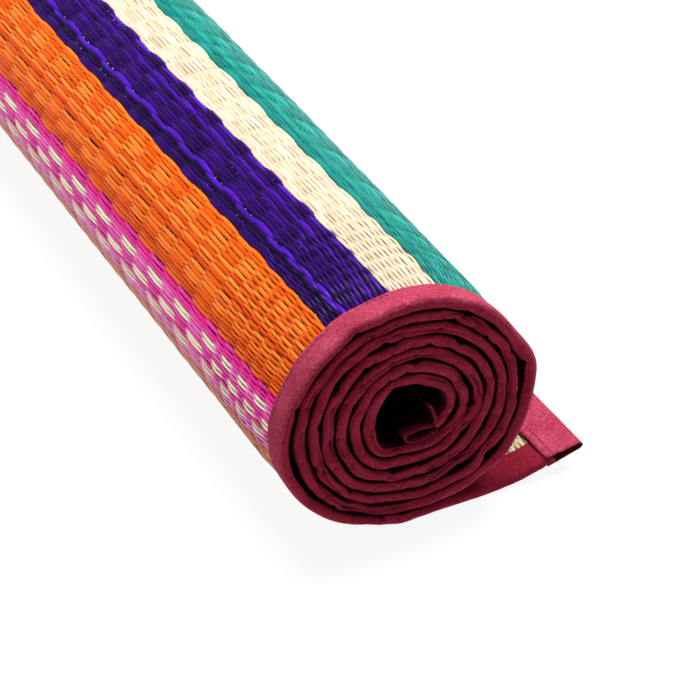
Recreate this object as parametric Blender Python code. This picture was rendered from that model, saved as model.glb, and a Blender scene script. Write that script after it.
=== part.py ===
"""A rolled korai grass mat, bound on all four edges with cotton tape.

The roll lies along Y on a floor at Z 0, its near end at -Y, and its loose end points to +X.
All of it follows one section in X and Z: a spiral of seven turns, whose last turn runs out
flat along the floor. The woven mat is that spiral drawn out along Y. The tape on its two
long sides is a U swept along the spiral, folded over the mat's edge. The tape on its two
short ends is a U that lies right across the roll, and the corners are its open ends.

Sizes are in millimetres, and become metres where a mesh is made.
"""

import math

import bmesh
import bpy
import numpy as np

MM = 0.001

# The whole roll
WIDTH = 910.0  # along Y, over both side bindings
CORE_X = -13.8  # the middle of the core, from the middle of the roll and its loose end
CORE_Z = 61.2  # and its height above the floor

# The mat and its tape
MAT_THICK = 2.0
GAP = 0.3  # between the mat and the tape, and from tape to tape
TAPE_THIN = 1.0  # folded tape where it lies flat
TAPE_PUFFED = 1.9  # and where it swells to fill the room between two turns
FLATTENING = 0.3  # lost again at each station of the loose end
TURN_GAP = 0.6  # left open between the tape of one turn and of the next
OUTER_LEAF = 13.0  # how far the side tape reaches over the mat's outer face
INNER_LEAF = 18.0  # and over its inner face
NOSE = 3.0  # depth of the side tape's rounded fold, along Y
EDGE_WALL = 2.3  # tape between that fold and the mat's own edge
CHANNEL = MAT_THICK / 2 + GAP  # half the height of the slot that the mat lies in

# How far the mat's middle is from the core's, a row for each turn and a column for each
# of eight directions, seen from the near end: down, then counter-clockwise
TURNS = (
    # down  d-rt  right up-rt up    up-lt left  d-lt
    (13.7, 17.3, 20.9, 17.9, 18.3, 20.1, 19.9, 21.8),
    (19.9, 22.8, 26.4, 24.0, 24.5, 26.5, 26.7, 27.5),
    (26.1, 30.0, 34.6, 30.8, 31.4, 33.6, 33.5, 33.5),
    (33.4, 38.2, 40.4, 37.3, 38.0, 41.0, 40.4, 39.7),
    (39.8, 45.6, 46.4, 43.2, 45.3, 48.3, 47.4, 45.9),
    (46.1, 53.0, 52.6, 49.6, 51.6, 54.4, 54.0, 51.4),
    (51.8, 60.6, 59.9, 56.1, 57.4, 60.0, 61.9, 58.5),
)
RUN_OUT = 59.6  # the same distance, straight down, where the last turn meets the floor

# Where a turn is bent sharper or flatter than that, a row for each kink
KINKS = (
    # turn, degrees from down, half width in degrees, distance out
    (6, 95.0, 8.0, 1.9),
    (6, 117.0, 13.0, -1.0),
    (6, 47.0, 9.0, 0.7),
    (6, 340.0, 14.0, -2.2),
    (5, 106.0, 9.0, -0.6),
    (4, 62.0, 9.0, 0.6),
    (3, 228.0, 10.0, 0.6),
    (1, 262.0, 9.0, 0.5),
    (0, 152.0, 12.0, -0.5),
)

# Where the side tape is gathered as it winds, a row for each dip in its fold
PUCKERS = (
    # turn, degrees from down, half width in degrees, depth
    (0, 205.0, 14.0, 0.8),
    (1, 187.0, 11.0, 1.1),
    (1, 287.0, 10.0, 1.2),
    (1, 349.0, 11.0, 1.2),
    (2, 51.0, 11.0, 1.3),
    (2, 99.0, 10.0, 0.9),
    (3, 217.0, 9.0, 1.0),
    (3, 302.0, 9.0, 0.9),
    (4, 30.0, 9.0, 1.0),
    (4, 234.0, 9.0, 0.8),
    (4, 344.0, 9.0, 1.3),
    (5, 48.0, 8.0, 1.1),
    (5, 108.0, 8.0, 1.2),
    (5, 155.0, 8.0, 1.0),
    (6, 39.0, 7.0, 1.3),
    (6, 98.0, 8.0, 1.1),
    (6, 207.0, 7.0, 0.8),
    (6, 250.0, 7.0, 0.8),
)

# The loose end, as its middle line leaves the last turn, from the core's middle
LOOSE_END = (
    # right, up
    (18.0, -58.9),
    (34.0, -58.9),
    (47.0, -58.7),
    (60.0, -57.1),
    (71.0, -54.4),
    (81.0, -51.8),
    (91.4, -49.6),
)

# The end tapes, as the room inside the fold, a row for each place along it
LOOSE_FOLD = (
    # from the tip, towards the roll's inside, towards its outside
    (21.0, 1.3, 1.3),
    (13.5, 1.3, 1.3),
    (8.0, 1.1, 1.1),
    (3.0, 0.9, 0.9),
)
CORE_FOLD = (
    (16.0, 1.3, 1.3),
    (10.5, 1.5, 1.3),
    (7.5, 2.3, 1.4),
    (3.5, 2.2, 1.2),
)
MAT_SHORT_OF_TIP = {"loose": 14.3, "core": 8.8}  # the folds are empty beyond the mat's ends

# How finely the section is drawn
FIRST_TURN = -0.035  # the inner end starts a little before straight down
SEGMENTS = 30  # stations in a turn
LOOSE_STEP = 8.5  # from one station to the next on the loose end
FINE = 6  # path points from one station to the next


def between(rows, at):
    """A smooth curve (Catmull-Rom) through rows, read at a fractional row number."""
    rows = np.asarray(rows, float)
    low = int(np.clip(math.floor(at), 0, len(rows) - 2))
    before, start, end, after = (rows[np.clip(low + k, 0, len(rows) - 1)] for k in (-1, 0, 1, 2))
    f = at - low
    bend = 2 * before - 5 * start + 4 * end - after
    twist = 3 * start - before - 3 * end + after
    return 0.5 * (2 * start + (end - before) * f + bend * f**2 + twist * f**3)


SPOKES = [distance for row in TURNS for distance in row] + [RUN_OUT]


def bumps(rows, turn):
    """What a table's rows add up to at a turn, each a bell around its own place."""
    total = 0.0
    for whole, degrees, half_width, size in rows:
        off = ((turn - whole) * 360 - degrees) / half_width
        total += size * math.exp(-off * off)
    return total


def radius(turn):
    """How far the mat's middle is from the core's, so many turns after straight down."""
    turn = min(max(turn, 0.0), float(len(TURNS)))
    return float(between(SPOKES, turn * 8)) + bumps(KINKS, turn)


def build_path():
    """The mat's middle line: rows of turn, x and z from its inner end to its tip."""
    step = 1 / (SEGMENTS * FINE)
    floor_line = TAPE_THIN + CHANNEL - CORE_Z
    rows = []
    for turn in np.arange(FIRST_TURN, len(TURNS) + step / 2, step):
        angle = 2 * math.pi * turn
        far = radius(turn)
        rows.append((turn, far * math.sin(angle), max(-far * math.cos(angle), floor_line)))
    route = [(-LOOSE_END[0][0], floor_line), rows[-1][1:], *LOOSE_END]
    reach = math.dist(rows[-1][1:], LOOSE_END[-1])
    count = int(reach / LOOSE_STEP) * FINE
    for k in range(1, count + 1):
        x, z = between(route, 1 + (len(route) - 2) * k / count)
        rows.append((len(TURNS) + k * step, x, max(z, floor_line)))
    return np.array(rows)


PATH = build_path()
LENGTH = np.concatenate([[0.0], np.cumsum(np.hypot(*np.diff(PATH[:, 1:], axis=0).T))])
TIP = LENGTH[-1]


def on_path(length, out=0.0):
    """The point (x, z) so far along the middle line, and so far out from it."""
    reach = 2.0
    ends = np.clip([length - reach, length + reach], 0.0, TIP)
    (x0, x1), (z0, z1) = (np.interp(ends, LENGTH, PATH[:, k]) for k in (1, 2))
    run = math.hypot(x1 - x0, z1 - z0)
    x, z = (np.interp(length, LENGTH, PATH[:, k]) for k in (1, 2))
    return x + out * (z1 - z0) / run, z - out * (x1 - x0) / run


def stations(start, end):
    """Lengths along the middle line from start to end, at even angles and then steps."""
    marks = [m for m in LENGTH[::FINE] if start + 1.5 < m < end - 1.5]
    return [start, *marks, end]


def turn_at(length):
    """How many turns after straight down a length along the middle line comes."""
    return float(np.interp(length, LENGTH, PATH[:, 0]))


def tape_thickness(length, side):
    """How thick the side tape is there, on the side of the next turn (+1) or the last (-1)."""
    turn = turn_at(length)
    if turn + side < 0:
        return TAPE_PUFFED
    room = side * (radius(turn + side) - radius(turn))
    puffed = min((room - TURN_GAP) / 2 - CHANNEL, TAPE_PUFFED)
    flattened = FLATTENING * SEGMENTS * max(0.0, turn - len(TURNS))
    return max(TAPE_THIN, puffed - flattened)


def swept(path_lengths, section, cap):
    """Points and faces of a section swept along the middle line, closed at both ends.

    section(length) gives its corners as (out from the middle line, y), and cap the faces
    that close it, as corner numbers.
    """
    points = []
    for length in path_lengths:
        for out, y in section(length):
            x, z = on_path(length, out)
            points.append((x, y, z))
    size = len(points) // len(path_lengths)
    last = len(points) - size
    faces = [list(face) for face in cap] + [[last + k for k in face[::-1]] for face in cap]
    for k in range(len(path_lengths) - 1):
        for j in range(size):
            a, b = k * size + j, k * size + (j + 1) % size
            faces.append([a, a + size, b + size, b])
    return points, faces


def add_object(name, points, faces, material):
    """One closed mesh object, from points in millimetres about the core's middle."""
    mesh = bpy.data.meshes.new(name)
    bm = bmesh.new()
    corners = [bm.verts.new(((x + CORE_X) * MM, y * MM, (z + CORE_Z) * MM)) for x, y, z in points]
    for face in faces:
        bm.faces.new([corners[k] for k in face])
    bmesh.ops.recalc_face_normals(bm, faces=bm.faces)
    bm.to_mesh(mesh)
    bm.free()
    mesh.shade_smooth()
    mesh.set_sharp_from_angle(angle=math.radians(40))
    mesh.materials.append(material)
    obj = bpy.data.objects.new(name, mesh)
    bpy.context.collection.objects.link(obj)
    return obj


def add_material(name, colour, roughness):
    """A plain matt material: neither reed nor cotton is metallic."""
    material = bpy.data.materials.new(name)
    material.use_nodes = True
    shader = material.node_tree.nodes["Principled BSDF"]
    shader.inputs["Base Color"].default_value = (*colour, 1.0)
    shader.inputs["Roughness"].default_value = roughness
    shader.inputs["Metallic"].default_value = 0.0
    return material


def make_mat():
    """The woven reed mat, one sheet rolled up from end to end."""
    half_width = WIDTH / 2 - EDGE_WALL - GAP
    half = MAT_THICK / 2

    def section(_length):
        return ((half, -half_width), (half, half_width), (-half, half_width), (-half, -half_width))

    span = stations(MAT_SHORT_OF_TIP["core"], TIP - MAT_SHORT_OF_TIP["loose"])
    reed = add_material("dyed_reed", (0.86, 0.25, 0.04), 0.55)
    add_object("mat", *swept(span, section, [(0, 1, 2, 3)]), reed)


def make_side_binding(name, side, material):
    """Tape folded over one long side: side is -1 at the near end and +1 at the far one."""

    def section(length):
        outer = CHANNEL + tape_thickness(length, 1)
        inner = -CHANNEL - tape_thickness(length, -1)
        middle, half = (outer + inner) / 2, (outer - inner) / 2
        reach = NOSE - bumps(PUCKERS, turn_at(length))
        corners = [(CHANNEL, OUTER_LEAF), (outer, OUTER_LEAF)]
        for quarter in range(5):
            turn = math.pi * quarter / 4
            corners.append((middle + half * math.cos(turn), NOSE - reach * math.sin(turn)))
        corners += [(inner, INNER_LEAF), (-CHANNEL, INNER_LEAF)]
        corners += [(-CHANNEL, EDGE_WALL), (CHANNEL, EDGE_WALL)]
        return [(out, side * (WIDTH / 2 - depth)) for out, depth in corners]

    cap = [(0, 1, 2, 10), (10, 2, 3), (10, 3, 4), (10, 4, 9), (9, 4, 5), (9, 5, 6), (8, 9, 6, 7)]
    span = stations(CORE_FOLD[0][0] + GAP, TIP - LOOSE_FOLD[0][0] - GAP)
    add_object(name, *swept(span, section, cap), material)


def fold_line(fold, wall):
    """An end tape's section from lip to lip: its slot at wall 0, its skin at the tape's own."""
    depth, inside, outside = fold[-1]
    middle, half = (outside - inside) / 2, (outside + inside) / 2 + wall
    line = [(distance, out + wall) for distance, _, out in fold]
    for eighth in range(1, 8):
        turn = math.pi * eighth / 8
        reach = (depth - TAPE_THIN + wall) * math.sin(turn)
        line.append((depth - reach, middle + half * math.cos(turn)))
    return line + [(distance, -room - wall) for distance, room, _ in reversed(fold)]


def make_end_binding(name, fold, from_tip, material):
    """Tape folded over one short end, as long as the mat is wide.

    from_tip(distance) is the length along the middle line at that distance from the fold.
    """
    ring = fold_line(fold, TAPE_THIN) + fold_line(fold, 0.0)[::-1]
    outline = [on_path(from_tip(distance), out) for distance, out in ring]
    count = len(outline)
    points = [(x, y, z) for y in (-WIDTH / 2, WIDTH / 2) for x, z in outline]
    faces = [[k, k + count, (k + 1) % count + count, (k + 1) % count] for k in range(count)]
    for k in range(count // 2 - 1):
        wall = [k, k + 1, count - 2 - k, count - 1 - k]
        faces += [wall, [corner + count for corner in wall[::-1]]]
    add_object(name, points, faces, material)


def main():
    for obj in list(bpy.data.objects):
        bpy.data.objects.remove(obj, do_unlink=True)
    make_mat()
    cotton = (0.36, 0.035, 0.085)
    make_side_binding("side_binding_near", -1, add_material("maroon_cotton_near", cotton, 0.9))
    make_side_binding("side_binding_far", 1, add_material("maroon_cotton_far", cotton, 0.9))
    loose = add_material("maroon_cotton_loose_end", cotton, 0.9)
    core = add_material("maroon_cotton_core_end", cotton, 0.9)
    make_end_binding("end_binding_loose", LOOSE_FOLD, lambda d: TIP - d, loose)
    make_end_binding("end_binding_core", CORE_FOLD, lambda d: d, core)


main()
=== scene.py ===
# %% [markdown]
# # A rolled grass mat
#
# A korai mat is woven from split grass, dyed in stripes, over a thin cotton warp. Its four edges are
# bound in maroon cotton tape. This one is rolled from a short end and lies on its side, with the other
# short end running out flat beside the roll.
#
# The solids already hold the spiral and the folded tape. This lesson dresses them: real reeds over
# real warp threads on the turn that shows, tape with its puckers and stitches, and the folded corners.

# %% Load the frame
import math

import bpy
import numpy as np
from mathutils import Matrix, Vector


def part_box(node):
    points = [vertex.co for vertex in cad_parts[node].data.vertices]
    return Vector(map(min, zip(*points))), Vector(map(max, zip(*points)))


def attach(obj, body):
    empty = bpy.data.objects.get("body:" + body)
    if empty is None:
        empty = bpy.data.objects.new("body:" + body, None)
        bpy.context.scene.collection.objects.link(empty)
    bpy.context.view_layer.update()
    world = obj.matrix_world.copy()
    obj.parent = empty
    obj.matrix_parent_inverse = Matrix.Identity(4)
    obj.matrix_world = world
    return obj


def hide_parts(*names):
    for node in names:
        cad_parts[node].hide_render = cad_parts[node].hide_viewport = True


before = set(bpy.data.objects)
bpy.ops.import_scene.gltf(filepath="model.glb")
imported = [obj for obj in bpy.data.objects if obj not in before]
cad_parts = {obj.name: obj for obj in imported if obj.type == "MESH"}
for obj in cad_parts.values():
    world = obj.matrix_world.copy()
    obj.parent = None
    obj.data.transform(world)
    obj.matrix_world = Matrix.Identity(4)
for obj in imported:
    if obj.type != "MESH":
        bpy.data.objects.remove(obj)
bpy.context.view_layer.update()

print("solids:", sorted(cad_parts))

# %% [markdown]
# ## The spiral
#
# Everything on a rolled mat follows one line: the middle of the sheet, seen from the end of the roll.
# It is worked out from the distance of each turn from the middle of the core, in eight directions, with
# a smooth curve between them. The same numbers shaped the solids, so each piece lands on its solid.
# Sizes are in millimetres until a mesh is made.

# %% Distances of the turns
MM = 0.001
NEAR_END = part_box("side_binding_near")[0].y / MM
FAR_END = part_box("side_binding_far")[1].y / MM
CORE = (-13.8, 61.2)  # the middle of the core, across and up
SLOT = 1.3  # from the sheet's middle line to the tape that covers it
TAPE_THIN, TAPE_PUFFED, TURN_GAP = 1.0, 1.9, 0.6
TURNS = (  # distance from the core: down, down right, right, up right, up, up left, left, down left
    (13.7, 17.3, 20.9, 17.9, 18.3, 20.1, 19.9, 21.8),
    (19.9, 22.8, 26.4, 24.0, 24.5, 26.5, 26.7, 27.5),
    (26.1, 30.0, 34.6, 30.8, 31.4, 33.6, 33.5, 33.5),
    (33.4, 38.2, 40.4, 37.3, 38.0, 41.0, 40.4, 39.7),
    (39.8, 45.6, 46.4, 43.2, 45.3, 48.3, 47.4, 45.9),
    (46.1, 53.0, 52.6, 49.6, 51.6, 54.4, 54.0, 51.4),
    (51.8, 60.6, 59.9, 56.1, 57.4, 60.0, 61.9, 58.5),
)
RUN_OUT = 59.6  # the same, where the last turn leaves the roll
KINKS = (  # turn, degrees from straight down, half width in degrees, outwards
    (6, 95, 8, 1.9),
    (6, 117, 13, -1.0),
    (6, 47, 9, 0.7),
    (6, 340, 14, -2.2),
    (5, 106, 9, -0.6),
    (4, 62, 9, 0.6),
    (3, 228, 10, 0.6),
    (1, 262, 9, 0.5),
    (0, 152, 12, -0.5),
)
LOOSE_END = (  # across and up from the core, out to the tip
    (18, -58.9), (34, -58.9), (47, -58.7), (60, -57.1), (71, -54.4), (81, -51.8), (91.4, -49.6),
)
FIRST_TURN, STEPS = -0.035, 180  # where the spiral starts, and its steps in one turn
END_STRIDE, END_STEPS = 8.5, 6  # on the loose end: a stride, and its steps
REACH = 2.0  # how far to each side of a place its direction is measured
SPOKES = [distance for row in TURNS for distance in row] + [RUN_OUT]

# %% Curves and bumps
def between(rows, at):
    """A smooth curve through the rows, at a row number that needn't be whole."""
    rows = np.asarray(rows, float)
    low = int(np.clip(math.floor(at), 0, len(rows) - 2))
    before, start, end, after = (rows[np.clip(low + k, 0, len(rows) - 1)] for k in (-1, 0, 1, 2))
    f = at - low
    bend = 2 * before - 5 * start + 4 * end - after
    twist = 3 * start - before - 3 * end + after
    return 0.5 * (2 * start + (end - before) * f + bend * f**2 + twist * f**3)


def bumps(rows, turn):
    """What the rows of turn, degrees, half width and size add up to at a turn."""
    total = np.zeros_like(np.asarray(turn, float))
    for whole, degrees, half_width, size in rows:
        total = total + size * np.exp(-((((turn - whole) * 360 - degrees) / half_width) ** 2))
    return total


def run_along(points):
    """The length of a line of points, from its start to each of them."""
    return np.concatenate([[0.0], np.cumsum(np.hypot(*np.diff(points, axis=0).T))])

# %% The middle line of the sheet
def radius(turn):
    """From the core to the sheet's middle line."""
    turn = min(max(turn, 0.0), float(len(TURNS)))
    return float(between(SPOKES, turn * 8) + bumps(KINKS, turn))


def spiral():
    """Rows of turn, across and up, from the core to the loose end."""
    floor_line = TAPE_THIN + SLOT - CORE[1]
    rows = []
    for turn in np.arange(FIRST_TURN, len(TURNS) + 0.5 / STEPS, 1 / STEPS):
        angle, far = 2 * math.pi * turn, radius(turn)
        rows.append((turn, far * math.sin(angle), max(-far * math.cos(angle), floor_line)))
    route = [(-LOOSE_END[0][0], floor_line), rows[-1][1:], *LOOSE_END]
    count = END_STEPS * int(math.dist(rows[-1][1:], LOOSE_END[-1]) / END_STRIDE)
    for k in range(1, count + 1):
        x, z = between(route, 1 + (len(route) - 2) * k / count)
        rows.append((len(TURNS) + k / STEPS, x, max(z, floor_line)))
    return np.array(rows)


LINE = spiral()
LENGTH = run_along(LINE[:, 1:])
TIP = LENGTH[-1]

# %% Places along the line
def length_at(turn):
    """How far along the sheet a turn is."""
    return float(np.interp(turn, LINE[:, 0], LENGTH))


def lean(length):
    """Across and up, for the direction that points away from the core."""
    ends = [np.clip(length + reach, 0.0, TIP) for reach in (-REACH, REACH)]
    (x0, x1), (z0, z1) = ([np.interp(end, LENGTH, LINE[:, k]) for end in ends] for k in (1, 2))
    run = np.hypot(x1 - x0, z1 - z0)
    return (z1 - z0) / run, (x0 - x1) / run


def on_line(length, out):
    """Across and up, in the object's own millimetres, of places beside the middle line."""
    across, up = lean(length)
    x, z = (np.interp(length, LENGTH, LINE[:, k]) for k in (1, 2))
    return x + out * across + CORE[0], z + out * up + CORE[1]


print(f"the sheet is {TIP:.0f} mm long, and its last turn starts at {length_at(6):.0f} mm")

# %% [markdown]
# ## Helpers for meshes
#
# Cloth and grass are never quite even, so most shapes here take a little of `hills`, which are
# smooth, or of `facets`, which are stiff: random values that come out the same on every run.
# `tube_faces` joins ring after ring of points into a skin, and `capped` closes its two ends.

# %% Smooth steps and random hills
TABLE = (1009, 61)  # random heights, before they repeat


def smooth(value, start, end):
    """0 up to start, 1 from end on, and smooth between."""
    share = np.clip((np.asarray(value, float) - start) / (end - start), 0, 1)
    return share * share * (3 - 2 * share)


def hills(seed, along, across=0.0):
    """Smooth random values from -1 to 1, one swing for each unit of either coordinate."""
    along, across = np.broadcast_arrays(np.asarray(along, float), np.asarray(across, float))
    heights = np.random.default_rng(seed).uniform(-1, 1, TABLE)
    i, j = np.floor(along).astype(int), np.floor(across).astype(int)
    f, g = along - i, across - j
    f, g = f * f * (3 - 2 * f), g * g * (3 - 2 * g)

    def row(k):
        k = k % TABLE[1]
        return heights[i % TABLE[0], k] * (1 - f) + heights[(i + 1) % TABLE[0], k] * f

    return row(j) * (1 - g) + row(j + 1) * g


def facets(seed, along):
    """Random values from -1 to 1 joined by straight lines, as stiff cloth bends."""
    heights = np.random.default_rng(seed).uniform(-1, 1, TABLE[0])
    low = np.floor(along).astype(int)
    share = along - low
    return heights[low % TABLE[0]] * (1 - share) + heights[(low + 1) % TABLE[0]] * share


# %% Plain meshes
def make_object(name, points, faces, uv=None, edges=()):
    """A smooth mesh object from points in millimetres, with an optional flat map in metres."""
    mesh = bpy.data.meshes.new(name)
    faces = [list(map(int, face)) for face in faces]
    mesh.from_pydata((np.asarray(points, float) * MM).tolist(), edges, faces)
    mesh.shade_smooth()
    if uv is not None:
        corners = np.zeros(len(mesh.loops), dtype=np.int32)
        mesh.loops.foreach_get("vertex_index", corners)
        layer = mesh.uv_layers.new(name="cloth")
        layer.data.foreach_set("uv", (np.asarray(uv, float)[corners] * MM).ravel())
    made = bpy.data.objects.new(name, mesh)
    bpy.context.scene.collection.objects.link(made)
    return made


def give_points(made, name, values):
    """Stores one number for each point of a mesh."""
    made.data.attributes.new(name, "FLOAT", "POINT").data.foreach_set("value", np.asarray(values, float))


def tube_faces(rings, around):
    """Quads that join ring after ring of points, each ring closed on itself."""
    ring, k = np.meshgrid(np.arange(rings - 1), np.arange(around), indexing="ij")
    here, beyond = ring * around + k, ring * around + (k + 1) % around
    return np.stack([here, beyond, beyond + around, here + around], axis=-1).reshape(-1, 4)


def capped(cap, last_ring):
    """A skin's two end faces: one corner list, on the first ring and on the last."""
    return [cap[::-1], [corner + last_ring for corner in cap]]


def triangles(made):
    """How many triangles a piece has."""
    return sum(len(p.vertices) - 2 for p in made.data.polygons)


# %% [markdown]
# ## Helpers for node trees
#
# Shader maths reads best as plain arithmetic, so a `Wire` stands for a socket and adds Math nodes
# when it is added, multiplied or compared. A `Bench` adds every other node: its settings first, then
# the values or wires of its sockets.

# %% Wires
class Wire:
    """An output socket that can be used in sums."""

    def __init__(self, bench, socket):
        self.bench, self.socket = bench, socket

    def __add__(self, other):
        return self.bench.maths("ADD", self, other)

    def __sub__(self, other):
        return self.bench.maths("SUBTRACT", self, other)

    def __rsub__(self, other):
        return self.bench.maths("SUBTRACT", other, self)

    def __mul__(self, other):
        return self.bench.maths("MULTIPLY", self, other)

    def __gt__(self, other):
        return self.bench.maths("GREATER_THAN", self, other)

    __radd__, __rmul__ = __add__, __mul__

# %% Benches
class Bench:
    """Adds nodes to one tree, and hands back wires."""

    def __init__(self, tree):
        self.tree = tree

    def add(self, kind, settings=None, values=None, out=None):
        """Any node: its settings first, then the values or wires of its sockets."""
        node = self.tree.nodes.new(kind)
        for name, value in (settings or {}).items():
            if name == "stops":
                self.set_stops(node.color_ramp, value)
            else:
                setattr(node, name, value)
        for name, value in (values or {}).items():
            socket = node.inputs[name]
            for one in value if isinstance(value, list) else [value]:
                if isinstance(one, Wire):
                    self.tree.links.new(one.socket, socket)
                else:
                    socket.default_value = one
        shown = [socket for socket in node.outputs if socket.enabled]
        if not shown:
            return None
        return Wire(self, node.outputs[out] if out else shown[0])

    @staticmethod
    def set_stops(ramp, stops):
        while len(ramp.elements) < len(stops):
            ramp.elements.new(0.5)
        for element, (place, colour) in zip(ramp.elements, stops):
            element.position, element.color = place, (*colour, 1.0)

    def maths(self, operation, *values):
        return self.add("ShaderNodeMath", {"operation": operation}, dict(enumerate(values)))

    def vector(self, operation, *values):
        return self.add("ShaderNodeVectorMath", {"operation": operation}, dict(enumerate(values)))

    def blend(self, share, low, high):
        """The low colour where share is 0 and the high one where it is 1."""
        low, high = (c if isinstance(c, Wire) else (*c, 1.0) for c in (low, high))
        settings = {"data_type": "RGBA"}
        return self.add("ShaderNodeMix", settings, {0: share, 6: low, 7: high}, out=2)

    def ease(self, value, start, end):
        """0 below start, 1 above end, and smooth between."""
        settings = {"interpolation_type": "SMOOTHSTEP"}
        return self.add("ShaderNodeMapRange", settings, {0: value, 1: start, 2: end})

    def noise(self, vector, scale=1.0, detail=2.0, rough=0.5):
        values = {"Vector": vector, "Scale": scale, "Detail": detail, "Roughness": rough}
        return self.add("ShaderNodeTexNoise", {"noise_dimensions": "3D"}, values)

    def stretched(self, vector, scales, detail=2.0, rough=0.5):
        """Noise with its own scale along each axis."""
        return self.noise(self.vector("MULTIPLY", vector, scales), 1.0, detail, rough)

    def axis(self, vector, name):
        return self.add("ShaderNodeSeparateXYZ", None, {0: vector}, out=name)

    def stored(self, name):
        """A number stored on the points of the mesh."""
        return self.add("ShaderNodeAttribute", {"attribute_name": name}, out="Fac")

    def ramp(self, value, *stops):
        return self.add("ShaderNodeValToRGB", {"stops": stops}, {0: value})

    def bump(self, height, strength, distance):
        values = {"Strength": strength, "Distance": distance, "Height": height}
        return self.add("ShaderNodeBump", None, values)

# %% Starting a finish
def new_finish(name):
    """A material with its bench, its surface node and its place in the object's own space."""
    material = bpy.data.materials.new(name)
    material.use_nodes = True
    bench = Bench(material.node_tree)
    surface = material.node_tree.nodes["Principled BSDF"]
    place = bench.add("ShaderNodeTexCoord", out="Object")
    return material, bench, surface, place


def plug(bench, surface, **wires):
    """Links wires to the surface's sockets, and sets plain numbers on them."""
    for name, value in wires.items():
        socket = surface.inputs[name.replace("_", " ")]
        if isinstance(value, Wire):
            bench.tree.links.new(value.socket, socket)
        else:
            socket.default_value = value


# %% [markdown]
# ## Dyed reed
#
# Split grass is smooth and a little waxy, with fine fibres along it. No two reeds take the dye
# alike, so each carries its own `tone`, and streaks run along it. Where a reed dives under the warp
# it lies in its neighbours' shade, and that shade is painted into its colour: `lift` is how high a
# point rides in the weave, and the low points are painted dark.

# %% A finish for each dye
# Each dye: the painted shade in the slits between the reeds, then its deep, body and pale tones
DYES = {  # slit, deep, body, pale
    "teal": ((0.0, 0.02, 0.018), (0.0, 0.10, 0.085), (0.0, 0.20, 0.165), (0.004, 0.34, 0.285)),
    "ivory": ((0.30, 0.22, 0.13), (0.47, 0.37, 0.255), (0.57, 0.46, 0.335), (0.65, 0.57, 0.45)),
    "purple": ((0.001, 0.0002, 0.003), (0.007, 0.0005, 0.026), (0.022, 0.001, 0.100), (0.070, 0.007, 0.40)),
    "orange": ((0.035, 0.004, 0.001), (0.60, 0.052, 0.001), (0.80, 0.110, 0.002), (0.85, 0.22, 0.025)),
    "magenta": ((0.18, 0.0, 0.05), (0.72, 0.0, 0.15), (0.85, 0.001, 0.22), (0.88, 0.015, 0.32)),
    "pink": ((0.16, 0.003, 0.05), (0.80, 0.004, 0.26), (0.88, 0.060, 0.42), (0.90, 0.26, 0.58)),
    "lilac": ((0.28, 0.02, 0.12), (0.66, 0.07, 0.32), (0.76, 0.19, 0.47), (0.83, 0.40, 0.62)),
    "oat": ((0.28, 0.16, 0.08), (0.72, 0.59, 0.36), (0.88, 0.77, 0.52), (0.94, 0.88, 0.68)),
    "straw": ((0.05, 0.025, 0.008), (0.30, 0.19, 0.085), (0.62, 0.48, 0.29), (0.76, 0.68, 0.52)),
    "rust": ((0.03, 0.006, 0.002), (0.28, 0.042, 0.010), (0.52, 0.125, 0.030), (0.70, 0.26, 0.09)),
}


FIBRES, MOTTLES = (1500.0, 40.0, 1500.0), (260.0, 60.0, 260.0)  # how fine, across and along a reed


def dyed_reed(name):
    """Streaked grass of one dye, with painted shade where it dives under its neighbours."""
    slit_shade, deep, body, pale = DYES[name]
    material, bench, surface, place = new_finish(f"reed_{name}")
    tone, lift = bench.stored("tone"), bench.stored("lift")
    streaks = bench.stretched(place, FIBRES, 3.0, 0.6)
    patches = bench.stretched(place, MOTTLES)
    mix = tone * 0.45 + streaks * 0.40 + patches * 0.15
    dye = bench.ramp(mix, (0.27, deep), (0.52, body), (0.80, pale))
    # painted shade: low points in the weave, and the reed's sides, take the slit's dark colour
    colour = bench.blend(bench.ease(lift, 0.04, 0.54), slit_shade, dye)
    relief = bench.bump(streaks, 0.45, 0.0002)
    plug(bench, surface, Base_Color=colour, Roughness=streaks * 0.25 + 0.12, Normal=relief)
    plug(bench, surface, Specular_IOR_Level=0.09)
    return material


REED = {name: dyed_reed(name) for name in DYES}
print("dyes:", ", ".join(REED))

# %% [markdown]
# ## Cotton
#
# The tape is plain-woven cotton, matt and a little fuzzy. Its threads are far finer than anything
# else here, so they stay in the finish: crossed fine bands on the cloth's own flat map, with soft
# cloudy wear and small creases. Each point of the cloth carries how open it is to the light, and
# that light is painted into its colour: painted shade, darkest deep in a fold, a shaded copy of the
# dye on the wound end, and a paler lit copy on the outside of the roll.

# %% A finish for the tape
FACE_LIGHT = 0.62  # how open to the light the wound end is: 0 deep in a fold, 1 on the outside
ACROSS_THREAD, ALONG_THREAD = 2300.0, 480.0  # how finely the cotton's threads vary
# painted shade: the cloth's colour deep in a fold, where no light reaches
FOLD_SHADE = (0.005, 0.0001, 0.0008)  # the cloth's colour deep in a fold
# Stops from deep to pale, painted as in shade on the wound end, and then as lit on the outside:
SHADED_STOPS = ((0.48, (0.125, 0.003, 0.011)), (0.62, (0.215, 0.008, 0.026)), (0.77, (0.32, 0.026, 0.060)))
LIT_STOPS = ((0.48, (0.19, 0.011, 0.026)), (0.62, (0.32, 0.030, 0.064)), (0.77, (0.50, 0.090, 0.148)))


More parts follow.
